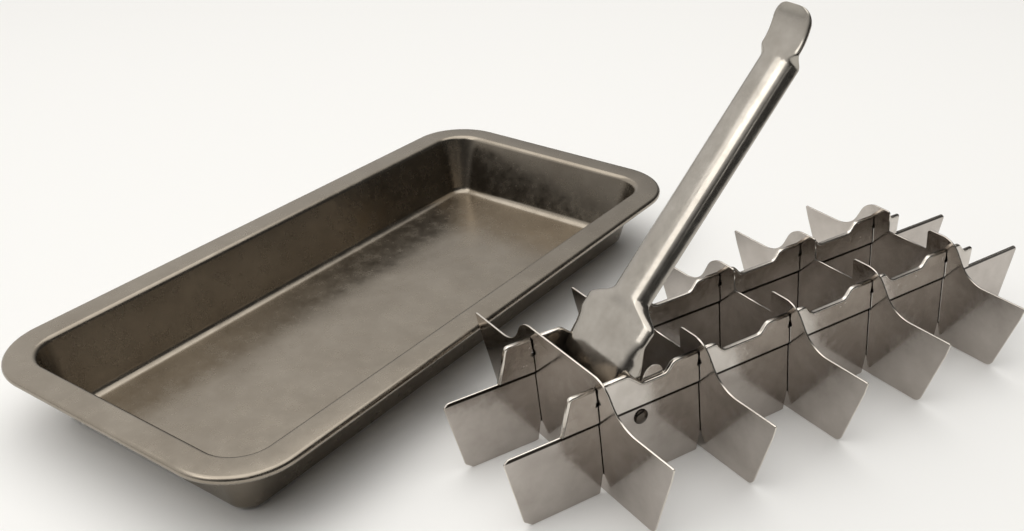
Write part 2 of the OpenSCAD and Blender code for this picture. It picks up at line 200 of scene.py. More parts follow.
# The same sheet, painted dark from 29.5 mm up: a painted shade line along the slide's lower edge
WALL_STEEL_SHADED = steel("rolled stainless steel sheet, painted shade under the slide", "#cfc9c3", "#9a928b", 0.18, 0.09,
                   15, 0.004, 24, 0.09, ((0, 0, 1), SHADE_FROM, SHADE_TO, PAINTED_SHADE))
# The slides' strip is a brighter stock, so they stand out from the walls under them
STRIP_STEEL = steel("bright stainless steel strip", "#e2ddd7", "#b3aca4", 0.2, 0.08, 12, 0.004, 20, 0.09)
# Bright, fine lines that draw each outline and the slides' folds: the punch leaves a sheared edge shiny,
# and the lighter colour is also a painted highlight
EDGE_AND_HIGHLIGHT_STEEL = steel("stainless steel, sheared edge, lighter as painted highlight", "#e6e0d8", "#c4bdb3", 0.2, 0.05, 6, 0.002, 8, 0.02)
# Near black lines where blade, wall and slide cross, and round the slides' leaves: painted shade of the
# narrow gaps
SHADE_LINE_STEEL = steel("stainless steel, painted shade line", PAINTED_SHADE, "#1f1b18", 0.4, 0.05, 4, 0.002, 8, 0.02)
# The brightest part, with a slow swell in its reflections: drawn deep, then tumbled
LEVER_STEEL = steel("drawn stainless steel, tumbled", "#c0bbb3", "#8f8980", 0.18, 0.07, 10, 0.005, 18, 0.08)
# Small domes painted dark, as a painted dark reflection, with one bright spot each
RIVET_STEEL_PAINTED_DARK = steel("stainless steel wire, headed, painted dark reflection", "#5c554e", "#3e3934", 0.16, 0.05, 3, 0.002, 4, 0.02)
print("finishes:", ", ".join(m.name for m in bpy.data.materials if "steel" in m.name))

# %% [markdown]
# ## From a grid of points to a piece
#
# A surface is a grid of points: rows along the piece, columns across it. Blender takes a list of
# points and a list of faces, and the faces of a grid follow from counting. Two directions may
# close on themselves, as a ring does. The first and last rows may also be closed by one flat
# face each. The pieces could be modelled by hand from boxes and cylinders, but counted faces
# follow each change of a size by themselves.

# %% Grids and pieces


def grid_faces(rows, columns, close_columns=False):
    """The four corners of cell (i, j) are points i, i + 1 by j, j + 1, counted row by row."""
    i = np.arange(rows - 1)[:, None]
    j = np.arange(columns if close_columns else columns - 1)[None, :]
    corner = lambda a, b: a * columns + b % columns
    corners = [corner(i, j), corner(i, j + 1), corner(i + 1, j + 1), corner(i + 1, j)]
    return np.stack(corners, -1).reshape(-1, 4)


def end_faces(rows, columns):
    """One face over the first row and one over the last, turned to face outwards."""
    first = np.arange(columns)
    return np.stack([first[::-1], first + (rows - 1) * columns])


def make_piece(name, parts, body, replaces):
    """parts are (points in mm, faces, material, smooth). They become one mesh, facing outwards."""
    points = np.vstack([p[0] for p in parts]) * MM
    starts = np.cumsum([0] + [len(p[0]) for p in parts[:-1]])
    materials = list(dict.fromkeys(p[2] for p in parts))
    faces, slots, smooth = [], [], []
    for (_, part_faces, material, is_smooth), start in zip(parts, starts):
        faces += (np.asarray(part_faces) + start).tolist()
        slots += [materials.index(material)] * len(part_faces)
        smooth += [is_smooth] * len(part_faces)
    mesh = bpy.data.meshes.new(name)
    mesh.from_pydata(points, [], faces)
    mesh.polygons.foreach_set("material_index", np.array(slots, np.int32))
    mesh.polygons.foreach_set("use_smooth", np.array(smooth, bool))
    for material in materials:
        mesh.materials.append(material)
    shell = bmesh.new()
    shell.from_mesh(mesh)
    bmesh.ops.remove_doubles(shell, verts=shell.verts, dist=2e-6)
    bmesh.ops.dissolve_degenerate(shell, edges=shell.edges, dist=1e-6)
    bmesh.ops.recalc_face_normals(shell, faces=shell.faces)
    shell.to_mesh(mesh)
    shell.free()
    piece = bpy.data.objects.new(name, mesh)
    bpy.context.scene.collection.objects.link(piece)
    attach(piece, body)
    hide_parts(*replaces)
    print(f"{name}: {len(mesh.vertices)} points, {len(mesh.polygons)} faces")
    return piece


print("a grid of 3 by 4 points has", len(grid_faces(3, 4)), "faces")

# %% [markdown]
# ## The pan
#
# The real pan is drawn from one sheet: a flat floor, walls that lean out a little so that they let
# go of what they hold, a flat rim, and an edge curled under so that it doesn't cut. It could be a
# box with bevels, but its corners must grow wider from floor to rim by themselves. So its section,
# floor to curl and back on the underside, is carried round a rounded rectangle, which gives
# exactly that. The inside and the underside are both there, as the sheet has a thickness.

# %% Pan
PAN_L, PAN_W, PAN_H, PAN_T = 287, 140, 29.5, 0.7
RIM_W, RIM_R, FLARE, FLOOR_R, BEND_R, CURL_R = 12, 26.7, 7.5, 4, 2.4, 1.6
ARC_STEPS, CORNER_STEPS, SIDE_STEPS = 10, 28, 24
CURL_END, CURL_STEPS = 262, 16
FLAT_RING = 3  # flat strip inside the foot, so that its shading runs out evenly


def arc(centre, radius, start, end, steps=ARC_STEPS):
    """Centre plus radius times (cos a, sin a), a going evenly from start to end, in degrees."""
    a = np.radians(np.linspace(start, end, steps + 1))
    return np.array(centre) + radius * np.stack([np.cos(a), np.sin(a)], -1)


def pan_face(d):
    """The section moved by d: flat ring, foot arc, bend over the rim, curl, as (way in, height)."""
    lean = math.degrees(math.atan(FLARE / (PAN_H - PAN_T)))
    turn = 90 - lean
    shift = math.tan(math.radians(turn / 2))
    foot = (RIM_W + FLARE + FLOOR_R * shift, PAN_T + FLOOR_R)
    bend = (RIM_W - BEND_R * shift, PAN_H - BEND_R)
    return np.vstack([
        (foot[0] + FLAT_RING, PAN_T + d),
        arc(foot, FLOOR_R - d, -90, -90 - turn),
        arc(bend, BEND_R + d, 90 - turn, 90),
        arc((CURL_R, PAN_H - CURL_R), CURL_R + d, 90, CURL_END, CURL_STEPS),
    ])


def rounded_rectangle(length, width, radius):
    """Points on the line of the corner centres, and the way out from it at each, all round.

    The way out is (cos a, sin a) in a corner, and along a side it stays as the corner left it.
    """
    centres, ways = [], []
    half = np.array([length / 2 - radius, width / 2 - radius])
    for quarter, sign in enumerate(((1, 1), (-1, 1), (-1, -1), (1, -1))):
        a = np.radians(np.linspace(0, 90, CORNER_STEPS + 1) + 90 * quarter)
        way = np.stack([np.cos(a), np.sin(a)], -1)
        here = half * sign
        there = half * ((-1, 1), (-1, -1), (1, -1), (1, 1))[quarter]
        share = np.linspace(0, 1, SIDE_STEPS + 1)[1:-1, None]
        centres += [np.tile(here, (len(a), 1)), here + (there - here) * share]
        ways += [way, np.tile(way[-1], (len(share), 1))]
    return np.vstack(centres), np.vstack(ways)


section = np.vstack([pan_face(0), pan_face(-PAN_T)[::-1]])
centres, ways = rounded_rectangle(PAN_L, PAN_W, RIM_R)
reach = RIM_R - section[:, 0]
pan_xy = centres[:, None] + ways[:, None] * reach[None, :, None]
pan_z = np.broadcast_to(section[:, 1], pan_xy.shape[:2])
pan_points = np.concatenate([pan_xy, pan_z[..., None]], -1).transpose(1, 0, 2)
rows, columns = pan_points.shape[:2]
flat = pan_points.reshape(-1, 3)
make_piece(
    "tray_pan_shell",
    [
        (flat, grid_faces(rows, columns, close_columns=True), PAN_STEEL, True),
        (flat, end_faces(rows, columns), PAN_STEEL, False),
    ],
    "tray", ["tray_pan"],
)

# %% [markdown]
# ## The grid's own frame
#
# Everything in the divider grid is measured from one corner of its own: x runs along the long
# walls to the far end, y across them, and x is zero where the first blade rocks. The grid stands
# beside the pan, turned 21 degrees. An empty as parent could carry that turn, but each finished
# piece must keep its place in its own mesh. So one function takes its points to the table.

# %% Grid frame
GRID_AT = np.array([-38.1, -124.6, 0.0])
GRID_TURN = -21
BLADES, PITCH = 5, 44
WALL_H, WALL_T, HALF, TONGUE_H = 31, 0.7, 37 / 2, 37.4
ROCK_Z, LEAN_UP, LEAN_DOWN, LEAN_MORE = 8, 7.5, 6.6, 8.63
BLADE_T, GAP = 0.7, 0.3
LEVER_AT, LEVER_UP = np.array([14.9, 0, 25.9]), 50
RIVET_R = 1.5


def turned(points, angle, axis):
    """Rotation by the right-hand rule about the x, y or z axis, the angle in degrees."""
    turn = np.array(Matrix.Rotation(math.radians(angle), 3, axis))
    return np.asarray(points) @ turn.T


def on_table(points):
    """Grid frame to the table: a turn about Z and a shift."""
    return turned(points, GRID_TURN, "Z") + GRID_AT


print("last blade rocks at", on_table([(BLADES - 1) * PITCH, 0, ROCK_Z]).round(1), "mm")

# %% [markdown]
# ## Sheet parts with soft edges
#
# Walls, blades and the leaves of the slides are all blanked from flat sheet. A plane with a
# Solidify modifier would have knife edges, and these catch no light. So each outline, and each
# hole in it, becomes a narrow strip that rolls from one face over the edge to the other, and the
# two faces are filled in between. The strips have materials of their own: sheared steel on an
# outer edge, made lighter as a painted highlight, and near black steel in a slit, as painted shade.

# %% Sheets
MITRE_LIMIT, CORNER_SHARE = 0.35, 0.45


def outward(loop):
    """Mitred way out at each corner of a closed outline that runs anticlockwise.

    It is n1 + n2, the two edges' ways out, divided by its length along n1, so that a step of 1
    moves both edges out by 1. The limit keeps a very sharp corner from shooting out.
    """
    before, after = loop - np.roll(loop, 1, 0), np.roll(loop, -1, 0) - loop
    n = [np.stack([e[:, 1], -e[:, 0]], -1) / np.linalg.norm(e, axis=1)[:, None]
         for e in (before, after)]
    both = n[0] + n[1]
    return both / np.maximum((both * n[0]).sum(1), MITRE_LIMIT)[:, None]


def sheet(outline, holes, thickness, face, edge, hole_edge, roll=0.14):
    """Parts of a flat sheet in (u, v, height): edge strips rolled by quarter circles, and two fills.

    On the quarter circle the strip lies roll (1 - cos a) inside the outline, at a height of
    thickness / 2 - roll (1 - sin a).
    """
    a = np.radians(np.linspace(0, 90, 4))
    inset = roll * (1 - np.concatenate([np.cos(a[::-1]), np.cos(a)]))
    level = thickness / 2 - roll * (1 - np.sin(a))
    level = np.concatenate([-level[::-1], level])
    parts, inner = [], []
    for k, loop in enumerate([outline, *holes]):
        area = np.sum(loop[:, 0] * np.roll(loop[:, 1], -1) - loop[:, 1] * np.roll(loop[:, 0], -1))
        loop = loop[::-1] if (area > 0) == (k > 0) else loop
        flat = loop[None] - outward(loop)[None] * inset[:, None, None]
        tall = np.broadcast_to(level[:, None, None], (len(level), len(loop), 1))
        strip = np.concatenate([flat, tall], -1)
        faces = grid_faces(*strip.shape[:2], close_columns=True)
        parts.append((strip.reshape(-1, 3), faces, hole_edge if k else edge, True))
        inner.append(flat[0])
    starts = np.cumsum([0] + [len(loop) for loop in inner])
    regions = [list(range(a, b)) for a, b in zip(starts, starts[1:])]
    points, _, triangles = delaunay_2d_cdt(np.vstack(inner).tolist(), [], regions, 2, 1e-6)[:3]
    for height, order in ((thickness / 2, 1), (-thickness / 2, -1)):
        fill = np.column_stack([np.array(points), np.full(len(points), height)])
        parts.append((fill, np.array(triangles)[:, ::order], face, False))
    return parts


def placed(parts, place):
    """The same parts with their points put through a function."""
    return [(place(p), faces, material, smooth) for p, faces, material, smooth in parts]


def circle(x, y, radius, steps=40):
    """Closed circle of points."""
    return arc((x, y), radius, 0, 360 - 360 / steps, steps - 1)


def softened(points, radius, closed=True, steps=4):
    """Each corner p becomes the parabola (1-t)(1-t) a + 2t(1-t) p + t t b.

    a and b lie on the two sides, radius away from p, or less on a short side.
    """
    points = np.asarray(points, float)
    back, ahead = np.roll(points, 1, 0) - points, np.roll(points, -1, 0) - points
    long = np.stack([np.linalg.norm(back, axis=1), np.linalg.norm(ahead, axis=1)], -1)
    share = np.minimum(radius, CORNER_SHARE * long.min(1))[:, None] / long
    t = np.linspace(0, 1, steps + 1)[None, :, None]
    start, end = (back * share[:, :1])[:, None], (ahead * share[:, 1:])[:, None]
    curves = points[:, None] + (1 - t) ** 2 * start + t**2 * end
    if closed:
        return curves.reshape(-1, 2)
    return np.vstack([points[:1], curves[1:-1].reshape(-1, 2), points[-1:]])


print("a softened square has", len(softened([(0, 0), (1, 0), (1, 1), (0, 1)], 0.2)), "points")

# %% [markdown]
# ## The long walls
#
# Each wall is a flat plate with slanted ends, as the pan's ends lean out, and a low tongue on top
# that guides the slide from inside. Under each blade it has a notch that widens downwards. The
# blade's foot swings in it, and rocks about its narrow top. From the side the notches show as
# small bright wedges at the foot of each crossing. A Boolean modifier could cut them, but as part
# of the outline they get the same soft edges as the rest.

# %% Walls
NEAR_L, FAR_L, NEAR_SLANT, FAR_SLANT, END_CUT, FOOT_CUT = 41, 45.5, 8.5, 7.5, 1.6, 2.5
TONGUE_NEAR, TONGUE_FAR, WALL_SOFT, HOLE_PLAY = -7.8, 185.4, 0.5, 0.05


def tan(degrees):
    """Tangent of an angle in degrees."""
    return math.tan(math.radians(degrees))


def wall_outline():
    """Lower edge from the near end with its notches, then round the far end and back on top."""
    end = (BLADES - 1) * PITCH + FAR_L
    rest = 1 - FOOT_CUT / (WALL_H - END_CUT)
    half_notch = BLADE_T / 2 + GAP
    near = [(-NEAR_L, WALL_H - END_CUT), (-NEAR_L + NEAR_SLANT * rest, FOOT_CUT),
            (-NEAR_L + NEAR_SLANT + FOOT_CUT, 0)]
    notch = [(-half_notch - ROCK_Z * tan(LEAN_DOWN), 0), (-half_notch, ROCK_Z + GAP),
             (half_notch, ROCK_Z + GAP), (half_notch + ROCK_Z * tan(LEAN_MORE), 0)]
    foot = [(x + i * PITCH, z) for i in range(BLADES) for x, z in notch]
    far = [(end - FAR_SLANT - FOOT_CUT, 0), (end - FAR_SLANT * rest, FOOT_CUT),
           (end, WALL_H - END_CUT), (end - END_CUT, WALL_H)]
    tongue = [(TONGUE_FAR, WALL_H), (TONGUE_FAR, TONGUE_H), (TONGUE_NEAR, TONGUE_H), (TONGUE_NEAR, WALL_H)]
    return softened(near + foot + far + tongue + [(-NEAR_L + END_CUT, WALL_H)], WALL_SOFT, steps=2)


def upright(y):
    """Takes a sheet's (u, v, height) to the grid frame: u along x, v up, its faces across y."""
    return lambda p: on_table(np.column_stack([p[:, 0], y + p[:, 2], p[:, 1]]))


pivot_hole = circle(LEVER_AT[0], LEVER_AT[2], RIVET_R + HOLE_PLAY)
wall_parts = sheet(wall_outline(), [pivot_hole], WALL_T, WALL_STEEL_SHADED, EDGE_AND_HIGHLIGHT_STEEL, SHADE_LINE_STEEL)
for name, sign in (("front", -1), ("rear", 1)):
    plate = placed(wall_parts, upright(sign * HALF))
    make_piece(f"{name}_wall_plate", plate, "grid_frame", [f"{name}_wall"])

# %% [markdown]
# ## The cross blades
#
# A blade is one flat sheet across both walls. Outside the walls it is a low flap that parts two
# cells. Over each wall it rises in a lobe, by which the slide moves it, and between the lobes is
# a notch for the lever. The first blade has no notch, because the lever starts behind it. Two
# upright windows let the walls and the slides through: narrow slits along the walls, and wider
# above, where the slides are. The outline could be traced as one free curve, but arcs between
# straight lines have sizes that can be measured, and one half of it, mirrored, makes both sides
# alike.

# %% Blades
FLAP_W, FOOT_W, FOOT_R, NOTCH_W, NOTCH_H, WINDOW_H, LOBE_R = 112.4, 94, 3.6, 19.2, 32.2, 31.4, 1.5
FLANK, CROWN_R, SLOPE_R = 62, 9, 12.6
FLAP_H, LOBE_H, CROWN_Y = 25.7, 41.6, 16.5
FIRST_FLAP_H, FIRST_LOBE_H, FIRST_CROWN_Y = 28.6, 42.4, 18
SLIDE_W, SLIDE_LOW = 2.0, 31.2
SLIT_W, SLIT_H, WINDOW_W = WALL_T + 2 * GAP, SLIDE_LOW - ROCK_Z - 2 * GAP, SLIDE_W + 0.7
BLADE_ROLL, WINDOW_SOFT, TIP_SIDE, TIP_SOFT = 0.12, 0.15, 6, 0.9


def blade_outline(flap, crest, crown, notched):
    """Foot with a round corner, leaning side, flap, curve up to the lobe's flank, crown; mirrored.

    The curve up and the crown are arcs that both meet the flank at FLANK degrees. Each takes up a
    height of its radius times (1 - cos FLANK), and the flank, straight, takes up the rest.
    """
    lean = math.degrees(math.atan((FLAP_W - FOOT_W) / 2 / (ROCK_Z + FLAP_H)))
    corner = (FOOT_W / 2 - FOOT_R * tan(45 + lean / 2), FOOT_R - ROCK_Z)
    tip = (FLAP_W / 2 - (FLAP_H - flap) * tan(lean), flap)
    cos, sin = math.cos(math.radians(FLANK)), math.sin(math.radians(FLANK))
    rise = crest - CROWN_R * (1 - cos) - flap - SLOPE_R * (1 - cos)
    meet = crown + CROWN_R * sin + rise / tan(FLANK)
    half = [
        np.array([[0, -ROCK_Z]]),
        arc(corner, FOOT_R, -90, -lean, 8),
        softened([(tip[0] - TIP_SIDE * tan(lean), tip[1] - TIP_SIDE), tip, (tip[0] - TIP_SIDE, tip[1])],
                 TIP_SOFT, False),
        arc((meet + SLOPE_R * sin, flap + SLOPE_R), SLOPE_R, -90, -90 - FLANK, 14),
        arc((crown, crest - CROWN_R), CROWN_R, 90 - FLANK, 90, 14),
    ]
    if notched:
        half.append(arc((NOTCH_W / 2 + LOBE_R, crest - LOBE_R), LOBE_R, 90, 180, 6))
        half.append(np.array([[NOTCH_W / 2, NOTCH_H]]))
    half = np.vstack(half)
    return np.vstack([half, (half * (-1, 1))[:0:-1]])


def leaning(i):
    """Takes a blade's (across, up, height) to the table, leaning back about its rocking line."""
    def place(p):
        flat = np.column_stack([p[:, 2], p[:, 0], p[:, 1]])
        return on_table(turned(flat, -LEAN_UP, "Y") + (i * PITCH, 0, ROCK_Z))
    return place


window = np.array([(-SLIT_W, 0), (SLIT_W, 0), (SLIT_W, 2 * SLIT_H), (WINDOW_W, 2 * SLIT_H),
                   (WINDOW_W, 2 * WINDOW_H), (-WINDOW_W, 2 * WINDOW_H), (-WINDOW_W, 2 * SLIT_H),
                   (-SLIT_W, 2 * SLIT_H)]) / 2
windows = [softened(window + (s * HALF, 0), WINDOW_SOFT, steps=2) for s in (-1, 1)]
for i in range(BLADES):
    shape = (FLAP_H, LOBE_H, CROWN_Y, True) if i else (FIRST_FLAP_H, FIRST_LOBE_H, FIRST_CROWN_Y, False)
    outline, node = blade_outline(*shape), f"blade_{i + 1}"
    blade_parts = sheet(outline, windows, BLADE_T, SHEET_STEEL, EDGE_AND_HIGHLIGHT_STEEL, SHADE_LINE_STEEL, BLADE_ROLL)
    make_piece(f"cross_{node}", placed(blade_parts, leaning(i)), node, [node])

# %% [markdown]
# ## The slides
#
# A slide is a strip folded in two over the wall's tongue. The fold is flat on top with two round
# corners, and it rises in a hump at each blade. There a notch through the fold holds the blade.
# It could be one boolean of two boxes, but then the fold would be sharp. Here the fold's section
# is carried along the humps' line, and the two leaves are sheets that hang from it. The inner
# leaf also has a round lug.

# %% Notches and humps of a slide
DRIVE_H, SLIDE_NOTCH_H, SLIDE_H, HUMP_H, FIRST_HUMP_H = 41.2, 38, 40, 43.9, 45.3
SLIDE_T, FOLD_R, LUG_X, LUG_R = 0.5, 0.75, 20, 4.4
SLIDE_X = -(DRIVE_H - ROCK_Z) * tan(LEAN_UP)
HUMP_NEAR, HUMP_FAR, NEAR_RUN, FAR_RUN, FIRST_FAR, FIRST_RUN, TAIL = 11.6, 7.7, 3, 3.6, 12.4, 6.4, 5
PIN_R, PIN_ARM = 1.2, 9.8377
PIN_X, SLOT_LOW, SLOT_HIGH = 12.188, 32.544, 37.238
RUN_SOFT, SLOT_SOFT, LEAF_ROLL, LEAF_STEP, LUG_SUNK, PATH_MITRE = 1.4, 0.2, 0.08, 0.02, 0.04, 0.5


def notch_edges(i):
    """The two sides of the notch at blade i, from the top down and from the bottom up."""
    x, half_notch = SLIDE_X + i * PITCH, BLADE_T / 2 + GAP
    rise = (HUMP_H if i else FIRST_HUMP_H) - DRIVE_H
    drop = DRIVE_H - SLIDE_NOTCH_H
    left = [(x - half_notch - rise * tan(LEAN_MORE), DRIVE_H + rise), (x - half_notch, DRIVE_H),
            (x - half_notch - drop * tan(LEAN_DOWN), SLIDE_NOTCH_H)]
    rightside = [(x + half_notch + drop * tan(LEAN_MORE), SLIDE_NOTCH_H), (x + half_notch, DRIVE_H),
                 (x + half_notch + rise * tan(LEAN_DOWN), DRIVE_H + rise)]
    return left, rightside


def slide_runs():
    """The top line between one notch and the next, as softened paths."""
    runs, here = [], [(SLIDE_X - HUMP_NEAR - NEAR_RUN, SLIDE_LOW), (SLIDE_X - HUMP_NEAR, FIRST_HUMP_H)]
    for i in range(BLADES):
        left, rightside = notch_edges(i)
        runs.append(softened(here + [left[0]], RUN_SOFT, False))
        x = SLIDE_X + i * PITCH
        far, run, high = (HUMP_FAR, FAR_RUN, HUMP_H) if i else (FIRST_FAR, FIRST_RUN, FIRST_HUMP_H)
        here = [rightside[-1], (x + far, high), (x + far + run, SLIDE_H)]
        if i < BLADES - 1:
            here += [(x + PITCH - HUMP_NEAR - NEAR_RUN, SLIDE_H), (x + PITCH - HUMP_NEAR, HUMP_H)]
    runs.append(softened(here + [(here[-1][0] + TAIL, SLIDE_H)], RUN_SOFT, False))
    return runs


runs = slide_runs()
print("runs of the fold:", ", ".join(f"{np.ptp(run[:, 0]):.1f}" for run in runs), "mm long")

# %% Fold and leaves


def way_up(path):
    """Mitred way up from an open path that runs along x, worked out as in outward."""
    step = np.diff(path, axis=0)
    n = np.stack([-step[:, 1], step[:, 0]], -1) / np.linalg.norm(step, axis=1)[:, None]
    before, after = np.vstack([n[:1], n]), np.vstack([n, n[-1:]])
    both = before + after
    return both / np.maximum((both * before).sum(1), PATH_MITRE)[:, None]


def fold(path):
    """The fold's section, two quarter circles and the flat between, out and back, along a path.

    A point of the section keeps its way across, and is moved up from the path, by its height,
    along the mitred way up.
    """
    flat = SLIDE_W / 2 - FOLD_R
    bends = [np.vstack([arc((flat, -FOLD_R), r, 0, 90, 6), arc((-flat, -FOLD_R), r, 90, 180, 6)])
             for r in (FOLD_R, FOLD_R - SLIDE_T)]
    section = np.vstack([bends[0], bends[1][::-1]])
    lift = path[:, None] + way_up(path)[:, None] * section[None, :, 1:]
    across = np.broadcast_to(section[:, 0], lift.shape[:2])
    grid = np.stack([lift[..., 0], across, lift[..., 1]], -1)
    rows, columns = grid.shape[:2]
    points = grid.reshape(-1, 3)
    # The fold takes the edge steel, whose lighter colour paints a highlight along it
    return [(points, grid_faces(rows, columns, close_columns=True), EDGE_AND_HIGHLIGHT_STEEL, True),
            (points, end_faces(rows, columns), EDGE_AND_HIGHLIGHT_STEEL, False)]


def leaf_outline(runs):
    """Under the fold along each run, down and up round each notch, and back along the lower edge."""
    line = []
    for i, run in enumerate(runs):
        line.append(run - way_up(run) * FOLD_R)
        if i < BLADES:
            left, rightside = notch_edges(i)
            line.append(np.array(left[1:] + rightside[:-1]))
    line = np.vstack(line)
    line[:, 1] = np.maximum(line[:, 1], SLIDE_LOW + LEAF_STEP)
    return np.vstack([[(line[-1, 0], SLIDE_LOW)], line[::-1], [(line[0, 0] + LEAF_STEP, SLIDE_LOW)]])


# %% Slides
slot = softened([(PIN_X - PIN_R - GAP, SLOT_LOW), (PIN_X + PIN_R + GAP, SLOT_LOW),
                 (PIN_X + PIN_R + GAP, SLOT_HIGH), (PIN_X - PIN_R - GAP, SLOT_HIGH)], SLOT_SOFT)
outline = leaf_outline(runs)
leaf_y = (SLIDE_W - SLIDE_T) / 2
# The leaves' edges take the near black slit steel: painted shade, most of all along the slide's lower edge
leaf = sheet(outline, [], SLIDE_T, STRIP_STEEL, SHADE_LINE_STEEL, SHADE_LINE_STEEL, LEAF_ROLL)
slotted_leaf = sheet(outline, [slot], SLIDE_T, STRIP_STEEL, SHADE_LINE_STEEL, SHADE_LINE_STEEL, LEAF_ROLL)
lug = sheet(circle(LUG_X, SLIDE_H, LUG_R), [], SLIDE_T - LUG_SUNK, STRIP_STEEL, EDGE_AND_HIGHLIGHT_STEEL, EDGE_AND_HIGHLIGHT_STEEL)
for name, sign in (("front", -1), ("rear", 1)):
    over_wall = lambda p: on_table(p + (0, sign * HALF, 0))
    parts = [part for run in runs for part in placed(fold(run), over_wall)]
    parts += placed(leaf, upright(sign * (HALF + leaf_y)))
    parts += placed(slotted_leaf + lug, upright(sign * (HALF - leaf_y)))
    make_piece(f"{name}_slide_strip", parts, "slides", [f"{name}_slide"])

# %% [markdown]
# ## The lever
#
# The lever is a channel drawn from one sheet: a wide hood between the walls, a neck, a narrow
# rounded handle, and a finger tab bent up at its tip. The hood's sides reach down to round ears
# about the pivot. Its width, the height of its top, how far its sides hang down and how wide its
# bends are all change smoothly with the distance from the pivot, so the whole shell is one grid:
# one row for each distance, and across it an upright side, a round bend and a gently arched top.
# A box under Subdivision Surface could be pulled to that form, but its bends would have no
# radius of their own, and these bends make the long streaks of light that show drawn steel.

# %% Shape along the lever
LEVER_L, HOOD_W, HANDLE_W, TAB_W, TAB_L = 144, 34.4, 17.2, 17, 13.6
HOOD_H, HANDLE_H, EDGE_H, LEVER_T = 18.5, 20, 14.8, 0.7
HOOD_END, NECK_END, NOSE_R, NOSE_DROP, EAR_R = 26, 33.5, 22, 9, 6.6
HOOD_BEND, HANDLE_BEND, TAB_BEND = 6.5, 5.4, 1.8
HOOD_RISE, HANDLE_RISE, LIP_RISE, TAB_SKIRT, TOP_BOW, TAB_BOW = 6, 4.6, 0.9, 0.3, 0.7, 0.1
TAB_DIP, TAB_BLEND, TAB_RISE, TIP_R = 0, 4.5, 5.2, 4.8
SIDE_LINE = ((EAR_R, 9.1, 15.6, 20.5), (0, 7.6, 12, 15.4))
SIDE_DRAFT, BEND_SHARE, BEND_MIN, TALL_MIN = 16, 0.8, 0.2, 0.15
SIDE_POINTS, BEND_POINTS, TOP_POINTS = 6, 17, 13
TAB_X = LEVER_L - TAB_L


def ramp(x, a, b):
    """Cosine step from 0 at a to 1 at b."""
    return (1 - np.cos(np.pi * np.clip((x - a) / (b - a), 0, 1))) / 2


def mix(a, b, s):
    """a at s = 0, b at s = 1, and evenly between."""
    return a + (b - a) * s


def lever_shape(x):
    """Half width, crown, lower edge, bend's width and height, and the top's bow, at each distance x.

    Each goes from the hood's value to the handle's and on to the tab's by cosine steps. The nose
    drops, and the tab rises, by the square of how far along it x is. The ear's lower edge and the
    tab's round corners are circles, with z = -sqrt(r r - x x) for the ear.
    """
    neck, tab = ramp(x, HOOD_END, NECK_END), ramp(x, TAB_X - TAB_BLEND, TAB_X)
    left = np.maximum(0, TIP_R - (LEVER_L - x))
    cut = TIP_R - np.sqrt(np.maximum(0, TIP_R**2 - left**2))
    width = mix(mix(HOOD_W, HANDLE_W, neck), TAB_W, tab) / 2 - cut
    nose = np.maximum(0, NOSE_R - (x + EAR_R)) / NOSE_R
    tip = np.maximum(0, (x - TAB_X) / TAB_L)
    crown = mix(HOOD_H, HANDLE_H, neck) - NOSE_DROP * nose**2 - TAB_DIP * tab + TAB_RISE * tip**2
    side = np.where(x < EAR_R, -np.sqrt(np.maximum(0, EAR_R**2 - x**2)), np.interp(x, *SIDE_LINE))
    low = mix(mix(side, EDGE_H, neck), crown - LIP_RISE - TAB_SKIRT, tab)
    bow = mix(TOP_BOW, TAB_BOW, tab)
    bend = mix(mix(HOOD_BEND, HANDLE_BEND, neck), TAB_BEND, tab)
    rise = np.minimum(mix(mix(HOOD_RISE, HANDLE_RISE, neck), LIP_RISE, tab), crown - low - bow - TAB_SKIRT)
    return width, crown, low, bend, rise, bow


print("half width and crown at the tip:", *(v.round(2)[0] for v in lever_shape(np.array([LEVER_L]))[:2]))

# %% Sections across the lever


def lever_rows(x, inset):
    """Row x from one lower edge over the top to the other: side, bend, and a top of its own arc.

    The top is part of a circle with radius R: y = R sin a, drop = R (1 - cos a), out to the tilt at
    which the bend's circle, with radius b, takes over. It turns on until its side is upright on the
    hood, and SIDE_DRAFT short of that on the handle. One scale for the height fits both to the
    height that the bend and the bow have together.
    """
    width, crown, low, bend, rise, bow = (v[:, None] for v in lever_shape(x))
    w, b = width - inset, np.maximum(bend - inset, BEND_MIN)
    tall = np.maximum(rise + bow - inset, TALL_MIN)
    draft = math.radians(SIDE_DRAFT) * ramp(x, HOOD_END, NECK_END)[:, None]
    tilt = 2 * np.arctan(bow / (w - BEND_SHARE * b))
    centre = w - b * np.cos(draft)
    top_r = centre / np.sin(tilt) + b
    full = top_r - (top_r - b) * np.cos(tilt) - b * np.sin(draft)
    phi = draft + np.linspace(0, 1, BEND_POINTS)[None] * (np.pi / 2 - tilt - draft)
    theta = np.linspace(1, 0, TOP_POINTS)[None, 1:] * tilt
    y = np.hstack([np.repeat(w, SIDE_POINTS, 1), centre + b * np.cos(phi[:, 1:]), top_r * np.sin(theta)])
    drop = np.hstack([full - b * (np.sin(phi[:, 1:]) - np.sin(draft)), top_r * (1 - np.cos(theta))])
    side = mix(low, crown - inset - tall, np.linspace(0, 1, SIDE_POINTS)[None])
    z = np.hstack([side, crown - inset - drop * tall / full])
    y, z = np.hstack([y, -y[:, -2::-1]]), np.hstack([z, z[:, -2::-1]])
    return np.stack([np.broadcast_to(x[:, None], y.shape), y, z], -1)


def lever_place(points):
    """Lever frame, lying down with its pivot at the origin, to the table."""
    return on_table(turned(points, -LEVER_UP, "Y") + LEVER_AT)


